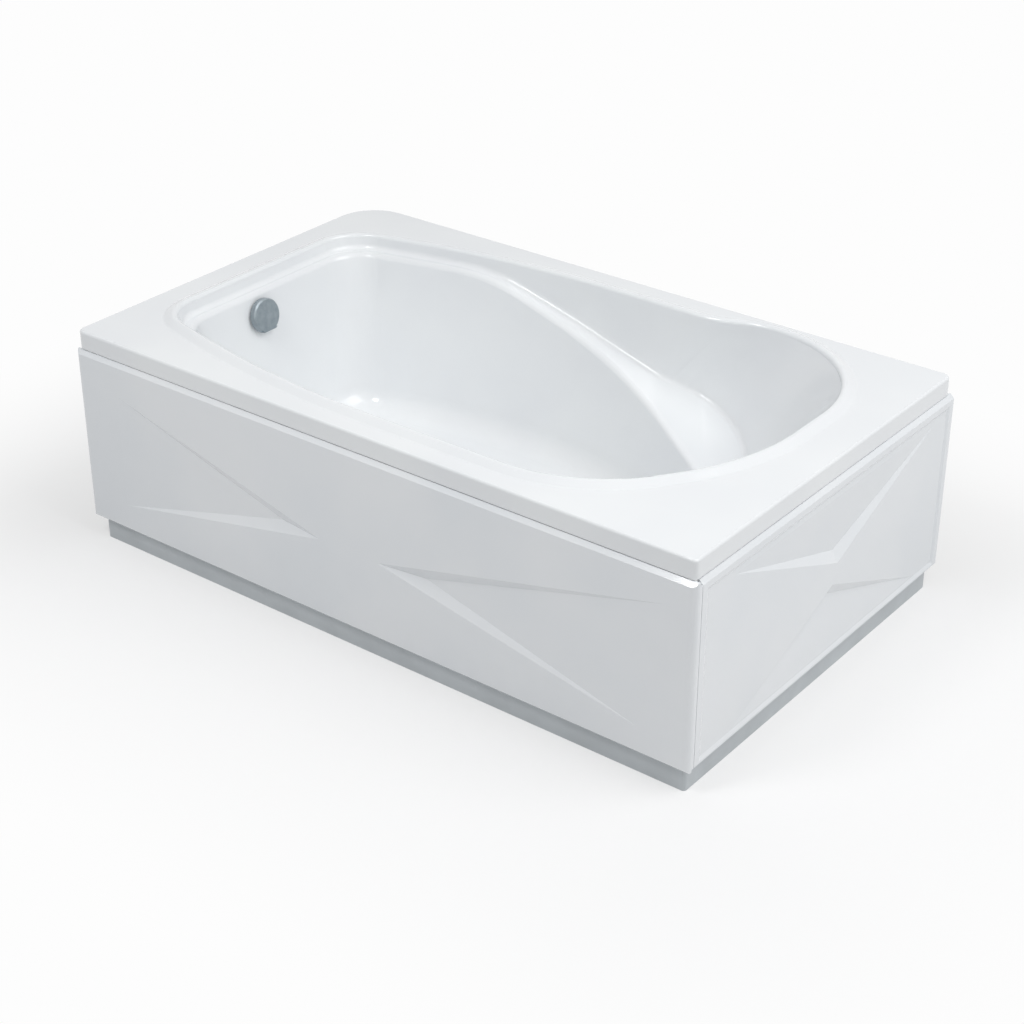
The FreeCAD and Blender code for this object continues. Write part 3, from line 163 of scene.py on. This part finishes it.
def make_pine(name, along):
    """Sawn pine with its grain along one axis: pale yellow-brown, with darker late wood about 9 mm apart."""
    material, tree, place = start_material(name)
    stretch = [per_metre(9)] * 3
    stretch[along] = per_metre(260)
    drawn = add_node(tree, "ShaderNodeMapping", {"Vector": place, "Scale": stretch})
    grain = add_node(tree, "ShaderNodeTexNoise", {
        "Vector": drawn, "Scale": 1.0, "Detail": 5.0, "Distortion": 0.6})
    colour = add_node(tree, "ShaderNodeValToRGB", {"Fac": grain},
                      [(0.32, "#8f6b41"), (0.46, "#c39e6a"), (0.68, "#dcbf8d")])
    dull = add_node(tree, "ShaderNodeMapRange", {"Value": grain, "To Min": 0.7, "To Max": 0.55})
    relief = add_node(tree, "ShaderNodeBump", {"Height": grain, "Distance": 0.4 * MM, "Strength": 0.5})
    return end_material(material, add_node(tree, "ShaderNodeBsdfPrincipled", {
        "Base Color": colour, "Roughness": dull, "Normal": relief}))


def make_coated_steel():
    """Powder-coated steel tube: mid grey, satin, with the fine orange peel of a baked coat."""
    material, tree, place = start_material("powder_coated_steel")
    peel = add_node(tree, "ShaderNodeTexNoise", {"Vector": place, "Scale": per_metre(2.5), "Detail": 2.0})
    dust = add_node(tree, "ShaderNodeTexNoise", {"Vector": place, "Scale": per_metre(90), "Detail": 5.0})
    colour = add_node(tree, "ShaderNodeValToRGB", {"Fac": dust}, [(0.35, "#83888c"), (0.65, "#979ca0")])
    satin = add_node(tree, "ShaderNodeMapRange", {"Value": dust, "To Min": 0.38, "To Max": 0.55})
    relief = add_node(tree, "ShaderNodeBump", {"Height": peel, "Distance": 0.15 * MM, "Strength": 0.4})
    return end_material(material, add_node(tree, "ShaderNodeBsdfPrincipled", {
        "Base Color": colour, "Roughness": satin, "Normal": relief}))


def make_plated_metal(name, light, shade, cloud_mm, smooth, rough):
    """A plated metal: a soft mirror whose tone and gloss drift in faint clouds."""
    material, tree, place = start_material(name)
    cloud = add_node(tree, "ShaderNodeTexNoise", {
        "Vector": place, "Scale": per_metre(cloud_mm), "Detail": 5.0})
    colour = add_node(tree, "ShaderNodeValToRGB", {"Fac": cloud}, [(0.3, shade), (0.7, light)])
    gloss = add_node(tree, "ShaderNodeMapRange", {"Value": cloud, "To Min": smooth, "To Max": rough})
    return end_material(material, add_node(tree, "ShaderNodeBsdfPrincipled", {
        "Base Color": colour, "Roughness": gloss, "Metallic": 1.0}))


def make_plastic(name, light, shade, grain_mm, rough, depth_mm):
    """A moulded plastic: even colour with a fine tool texture."""
    material, tree, place = start_material(name)
    cloud = add_node(tree, "ShaderNodeTexNoise", {"Vector": place, "Scale": per_metre(70), "Detail": 3.0})
    colour = add_node(tree, "ShaderNodeValToRGB", {"Fac": cloud}, [(0.35, shade), (0.65, light)])
    grain = add_node(tree, "ShaderNodeTexNoise", {
        "Vector": place, "Scale": per_metre(grain_mm), "Detail": 3.0})
    gloss = add_node(tree, "ShaderNodeMapRange", {
        "Value": grain, "To Min": rough - 0.08, "To Max": rough + 0.08})
    relief = add_node(tree, "ShaderNodeBump", {"Height": grain, "Distance": depth_mm * MM, "Strength": 0.4})
    return end_material(material, add_node(tree, "ShaderNodeBsdfPrincipled", {
        "Base Color": colour, "Roughness": gloss, "Normal": relief}))


def make_materials():
    """One material for each of the record's slots but timber, whose grain follows its batten."""
    return {
        "acrylic": make_acrylic("sanitary_acrylic", "#f1f3f4", "#edeff1"),
        "panel": make_acrylic("panel_acrylic", "#f0f2f4", "#ebeef1"),
        "fibreglass": make_fibreglass(),
        "chipboard": make_chipboard(),
        "coated_steel": make_coated_steel(),
        # Zinc plate on steel, bright blue-grey and slightly cloudy
        "zinc_steel": make_plated_metal("zinc_plated_steel", "#cdd1d4", "#a9adb0", 6, 0.22, 0.42),
        # Satin chrome on brass, a dark soft mirror with faint wiping marks
        "chrome": make_plated_metal("chrome_plated_brass", "#a6afb4", "#949ea4", 14, 0.27, 0.40),
        # Polypropylene feet, black with a matt mould texture
        "foot_plastic": make_plastic("foot_polypropylene", "#26272a", "#1d1e20", 1.5, 0.55, 0.1),
        # Acetal clips, milky and slightly waxy
        "clip_plastic": make_plastic("clip_acetal", "#e6e6e2", "#dcdcd6", 2.0, 0.42, 0.05),
        # Foamed vinyl plinth, satin; its colour is set darker grey than the panels as painted shade for the
        # shadow under their overhang
        "plinth_plastic": make_plastic("plinth_vinyl_painted_shade", "#c9ced1", "#c2c7ca", 3.0, 0.40, 0.05),
        # Black sheet rubber, dull and dusty
        "rubber": make_plastic("sheet_rubber", "#232323", "#191919", 1.2, 0.75, 0.1),
        # Polypropylene waste fittings, off-white
        "drain_plastic": make_plastic("drain_polypropylene", "#e2e4e4", "#d6d9d9", 2.0, 0.45, 0.08),
        # Vinyl cable sheath, near black
        "cable_plastic": make_plastic("cable_vinyl", "#2a2b2d", "#202123", 1.0, 0.5, 0.05),
    }


def dress_nodes(materials):
    """Give every carried-over node the material of its slot."""
    lengthwise, crosswise = make_pine("pine_along_length", 0), make_pine("pine_across_width", 1)
    battens = {"rim_batten_front": lengthwise, "rim_batten_back": lengthwise,
               "rim_batten_left": crosswise, "rim_batten_right": crosswise}
    for part in frame["record"]["subparts"]:
        node = frame["nodes"][part["node"]]
        node.data.materials.clear()
        node.data.materials.append(battens.get(part["node"]) or materials[part["material_slot"]])


# Small repeated forms, each made by a geometry node group

def start_tree(name, **inputs):
    """An empty geometry node group and the sockets of its named inputs."""
    tree = bpy.data.node_groups.new(name, "GeometryNodeTree")
    for title, kind in inputs.items():
        tree.interface.new_socket(title, in_out="INPUT", socket_type="NodeSocket" + kind)
    tree.interface.new_socket("Geometry", in_out="OUTPUT", socket_type="NodeSocketGeometry")
    return tree, add_node(tree, "NodeGroupInput").outputs


def end_tree(tree, geometry, given):
    """Set the form in its place, make it real, and give it its material."""
    placed = add_node(tree, "GeometryNodeTransform", {
        "Geometry": geometry, "Translation": given["Place"], "Rotation": given["Turn"]})
    real = add_node(tree, "GeometryNodeRealizeInstances", {"Geometry": placed})
    dressed = add_node(tree, "GeometryNodeSetMaterial", {"Geometry": real, "Material": given["Material"]})
    add_node(tree, "NodeGroupOutput", {"Geometry": dressed})
    return tree


def run_tree(tree, name, **values):
    """The node group's result, with these inputs, as a plain mesh."""
    holder = bpy.data.objects.new(name + "_maker", bpy.data.meshes.new(name + "_maker"))
    bpy.context.scene.collection.objects.link(holder)
    modifier = holder.modifiers.new("maker", "NODES")
    modifier.node_group = tree
    for item in tree.interface.items_tree:
        if item.in_out == "INPUT":
            modifier[item.identifier] = values[item.name]
    graph = bpy.context.evaluated_depsgraph_get()
    mesh = bpy.data.meshes.new_from_object(holder.evaluated_get(graph), depsgraph=graph)
    holder.modifiers.clear()
    bpy.data.objects.remove(holder)
    return mesh


def keep_piece(name, meshes, body):
    """Join meshes into one piece, its faces outwards, that moves with a body."""
    joined = bmesh.new()
    for mesh in meshes:
        joined.from_mesh(mesh)
    bmesh.ops.recalc_face_normals(joined, faces=joined.faces)
    whole = bpy.data.meshes.new(name)
    joined.to_mesh(whole)
    joined.free()
    whole.materials.append(meshes[0].materials[0])
    piece = bpy.data.objects.new(name, whole)
    bpy.context.scene.collection.objects.link(piece)
    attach(piece, body)
    return piece


def thread_tree():
    """A threaded rod: a core with a ridge wound round it."""
    tree, given = start_tree("rolled_thread", Crest="Float", Depth="Float", Pitch="Float", Length="Float",
                             Place="Vector", Turn="Rotation", Material="Material")
    turns = add_node(tree, "ShaderNodeMath", {0: given["Length"], 1: given["Pitch"]}, operation="DIVIDE")
    root = add_node(tree, "ShaderNodeMath", {0: given["Crest"], 1: given["Depth"]}, operation="SUBTRACT")
    spiral = add_node(tree, "GeometryNodeCurveSpiral", {
        "Resolution": 24, "Rotations": turns, "Start Radius": root, "End Radius": root,
        "Height": given["Length"]})
    upright = add_node(tree, "GeometryNodeSetCurveNormal", {"Curve": spiral}, mode="Z_UP")
    across = add_node(tree, "ShaderNodeMath", {0: given["Depth"], 1: 2.0}, operation="MULTIPLY")
    flank = add_node(tree, "ShaderNodeMath", {0: given["Pitch"], 1: 0.5}, operation="MULTIPLY")
    ridge = add_node(tree, "GeometryNodeCurvePrimitiveQuadrilateral", {
        "Width": across, "Bottom Height": flank, "Top Height": flank}, mode="KITE")
    wound = add_node(tree, "GeometryNodeCurveToMesh", {
        "Curve": upright, "Profile Curve": ridge, "Fill Caps": True})
    core = add_node(tree, "GeometryNodeMeshCylinder", {
        "Vertices": 32, "Radius": root, "Depth": given["Length"]})
    half = add_node(tree, "ShaderNodeMath", {0: given["Length"], 1: 0.5}, operation="MULTIPLY")
    lift = add_node(tree, "ShaderNodeCombineXYZ", {"Z": half})
    stood = add_node(tree, "GeometryNodeTransform", {"Geometry": core, "Translation": lift})
    both = add_node(tree, "GeometryNodeJoinGeometry", {"Geometry": wound})
    tree.links.new(stood.outputs["Geometry"], both.inputs["Geometry"])
    return end_tree(tree, both, given)


def make_threads(material):
    """Rolled M12 threads on the levelling studs, 1.75 mm apart and 1 mm deep."""
    tree = thread_tree()
    for corner in ("front_left", "back_left", "front_right", "back_right"):
        node = "levelling_stud_" + corner
        low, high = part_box(node)
        foot = ((low[0] + high[0]) / 2, (low[1] + high[1]) / 2, low[2])
        mesh = run_tree(tree, node + "_thread", Crest=(high[0] - low[0]) / 2, Depth=1.0 * MM, Pitch=1.75 * MM,
                        Length=high[2] - low[2], Place=foot, Turn=(0, 0, 0), Material=material)
        stud = keep_piece(node + "_threaded", [mesh], "levelling_foot_" + corner)
        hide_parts(node)


def rib_tree():
    """A ring of upright ribs for a hand grip."""
    tree, given = start_tree("grip_ribs", Ring="Float", Count="Int", Width="Float", Height="Float",
                             Place="Vector", Turn="Rotation", Material="Material")
    ring = add_node(tree, "GeometryNodeMeshCircle", {"Vertices": given["Count"], "Radius": given["Ring"]})
    rib = add_node(tree, "GeometryNodeMeshCylinder", {
        "Vertices": 10, "Radius": given["Width"], "Depth": given["Height"]})
    ribs = add_node(tree, "GeometryNodeInstanceOnPoints", {"Points": ring, "Instance": rib})
    return end_tree(tree, ribs, given)


def merged_copy(node):
    """A copy of a carried-over node in the shared frame, with its loose triangles joined."""
    source = frame["nodes"][node]
    copy = bmesh.new()
    copy.from_mesh(source.data)
    copy.transform(source.matrix_world)
    bmesh.ops.remove_doubles(copy, verts=copy.verts, dist=0.01 * MM)
    return copy


def single_boxes(node):
    """The lowest and highest corner of each separate solid of a node."""
    copy = merged_copy(node)
    waiting = set(copy.verts)
    found = []
    while waiting:
        reached = [waiting.pop()]
        spots = []
        while reached:
            vertex = reached.pop()
            spots.append(vertex.co.copy())
            joined = {edge.other_vert(vertex) for edge in vertex.link_edges} & waiting
            waiting -= joined
            reached.extend(joined)
        low = Vector(min(spot[axis] for spot in spots) for axis in range(3))
        high = Vector(max(spot[axis] for spot in spots) for axis in range(3))
        found.append((low, high))
    copy.free()
    return found


def make_grips(material):
    """Ribs round the two pipe nuts, so that they can be turned by hand."""
    tree = rib_tree()
    rings = []
    for low, high in single_boxes("pipe_nuts"):
        middle, spans = (low + high) / 2, high - low
        along = min(range(3), key=lambda axis: spans[axis])
        turn = ((0, math.pi / 2, 0), (math.pi / 2, 0, 0), (0, 0, 0))[along]
        rings.append(run_tree(tree, "nut_ribs", Ring=max(spans) / 2, Count=28, Width=1.1 * MM,
                              Height=spans[along] * 0.8, Place=middle, Turn=turn, Material=material))
    keep_piece("pipe_nut_ribs", rings, "tub")


def bead_tree():
    """A welded bead laid round a square post, rippled along its run."""
    tree, given = start_tree("weld_bead", Side="Float", Bead="Float", Ripple="Float", Seed="Float",
                             Place="Vector", Turn="Rotation", Material="Material")
    loop = add_node(tree, "GeometryNodeCurvePrimitiveQuadrilateral", {
        "Width": given["Side"], "Height": given["Side"]})
    soft = add_node(tree, "GeometryNodeFilletCurve", {
        "Curve": loop, "Radius": given["Bead"], "Count": 4}, mode="POLY")
    run = add_node(tree, "GeometryNodeResampleCurve", {"Curve": soft, "Count": 160})
    rough = add_node(tree, "ShaderNodeTexNoise", {
        "W": given["Seed"], "Scale": given["Ripple"], "Detail": 1.0}, noise_dimensions="4D")
    swell = add_node(tree, "ShaderNodeMapRange", {"Value": rough, "To Min": 0.5, "To Max": 1.5})
    rippled = add_node(tree, "GeometryNodeSetCurveRadius", {"Curve": run, "Radius": swell})
    ring = add_node(tree, "GeometryNodeCurvePrimitiveCircle", {"Resolution": 8, "Radius": given["Bead"]})
    bead = add_node(tree, "GeometryNodeCurveToMesh", {
        "Curve": rippled, "Profile Curve": ring, "Scale": swell})
    return end_tree(tree, bead, given)


def make_welds(material):
    """Weld beads where the side posts stand on the cross rails, about 3 mm thick."""
    tree = bead_tree()
    beads = []
    for seed, post in enumerate(("front_left", "back_left", "front_right", "back_right")):
        low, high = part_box("side_post_" + post)
        foot = ((low[0] + high[0]) / 2, (low[1] + high[1]) / 2, low[2])
        beads.append(run_tree(tree, "bead", Side=high[0] - low[0], Bead=1.5 * MM, Ripple=per_metre(5),
                              Seed=float(seed), Place=foot, Turn=(0, 0, 0), Material=material))
    keep_piece("weld_beads", beads, "tub")


# Studio

def seen_rays(tree):
    """1 for rays from the camera, from mirrors and through glass, 0 for the rays that carry light."""
    rays = add_node(tree, "ShaderNodeLightPath").outputs
    seen = rays["Is Camera Ray"]
    for ray in ("Is Glossy Ray", "Is Transmission Ray"):
        seen = add_node(tree, "ShaderNodeMath", {0: seen, 1: rays[ray]}, operation="MAXIMUM")
    return seen


def make_floor_paint():
    """Studio paint: near white to the eye with a soft shadow near the bath, pale grey to bounced light."""
    material, tree, place = start_material("studio_paint")
    bounce = add_node(tree, "ShaderNodeBsdfDiffuse", {"Color": linear("#dadada")})
    shadow = add_node(tree, "ShaderNodeBsdfDiffuse", {"Color": linear("#f5f5f5")})
    glow = add_node(tree, "ShaderNodeEmission", {"Color": linear("#fdfdfd"), "Strength": 1.0})
    folded = add_node(tree, "ShaderNodeVectorMath", {0: place}, operation="ABSOLUTE")
    past = add_node(tree, "ShaderNodeVectorMath", {0: folded, 1: cad_box[1]}, operation="SUBTRACT")
    outside = add_node(tree, "ShaderNodeVectorMath", {0: past, 1: (0, 0, 0)}, operation="MAXIMUM")
    away = add_node(tree, "ShaderNodeVectorMath", {0: outside}, operation="LENGTH").outputs["Value"]
    fade = add_node(tree, "ShaderNodeMapRange", {
        "Value": away, "From Min": 0.0, "From Max": 0.8, "To Min": 0.50}, interpolation_type="SMOOTHSTEP")
    paint = add_node(tree, "ShaderNodeMixShader", {0: fade, 1: shadow, 2: glow})
    return end_material(material, add_node(tree, "ShaderNodeMixShader", {
        0: seen_rays(tree), 1: bounce, 2: paint}))


def make_floor():
    """A plain floor, far wider than the view."""
    half = 12.0
    mesh = bpy.data.meshes.new("studio_floor")
    corners = [(-half, -half, 0), (half, -half, 0), (half, half, 0), (-half, half, 0)]
    mesh.from_pydata(corners, [], [(0, 1, 2, 3)])
    mesh.materials.append(make_floor_paint())
    floor = bpy.data.objects.new("studio_floor", mesh)
    bpy.context.scene.collection.objects.link(floor)


def make_world():
    """An even pale surround: white to the camera and to reflections, softer as light."""
    world = bpy.data.worlds.new("studio_surround")
    bpy.context.scene.world = world
    world.use_nodes = True
    tree = world.node_tree
    tree.nodes.clear()
    fill = add_node(tree, "ShaderNodeBackground", {"Color": linear("#f8fafc"), "Strength": 0.44})
    white = add_node(tree, "ShaderNodeBackground", {"Color": linear("#fdfdfd"), "Strength": 1.0})
    mix = add_node(tree, "ShaderNodeMixShader", {0: seen_rays(tree), 1: fill, 2: white})
    add_node(tree, "ShaderNodeOutputWorld", {"Surface": mix})


def make_light(name, place, power, side):
    """A large square lamp that faces the bath from a place."""
    lamp = bpy.data.lights.new(name, "AREA")
    lamp.energy = power
    lamp.size = side
    light = bpy.data.objects.new(name, lamp)
    light.location = place
    light.rotation_euler = Vector(place).to_track_quat("Z", "Y").to_euler()
    bpy.context.scene.collection.objects.link(light)


def make_camera():
    """The photograph's viewpoint, from a pinhole camera matched to the panel corners."""
    azimuth, elevation = math.radians(37.83), math.radians(29.27)
    distance, lens = 4.222, 73.51
    aim_right, aim_up, middle = 0.0138, -0.1120, Vector((0, 0, 0.240))
    level = math.cos(elevation)
    back = Vector((math.sin(azimuth) * level, -math.cos(azimuth) * level, math.sin(elevation)))
    right = Vector((0, 0, 1)).cross(back).normalized()
    up = back.cross(right)
    data = bpy.data.cameras.new("photo_camera")
    data.lens = lens
    data.sensor_width = 36.0
    camera = bpy.data.objects.new("photo_camera", data)
    camera.location = middle + right * aim_right + up * aim_up + back * distance
    camera.rotation_euler = back.to_track_quat("Z", "Y").to_euler()
    bpy.context.scene.collection.objects.link(camera)
    bpy.context.scene.camera = camera


finishes = make_materials()
dress_nodes(finishes)
make_threads(finishes["zinc_steel"])
make_grips(finishes["drain_plastic"])
make_welds(finishes["coated_steel"])

make_floor()
make_world()
make_light("key_window", (2.6, 0.35, 3.4), 78, 3.0)
make_light("front_card", (-0.4, -2.1, 3.1), 30, 0.9)
make_camera()
bpy.context.scene.view_settings.view_transform = "Standard"
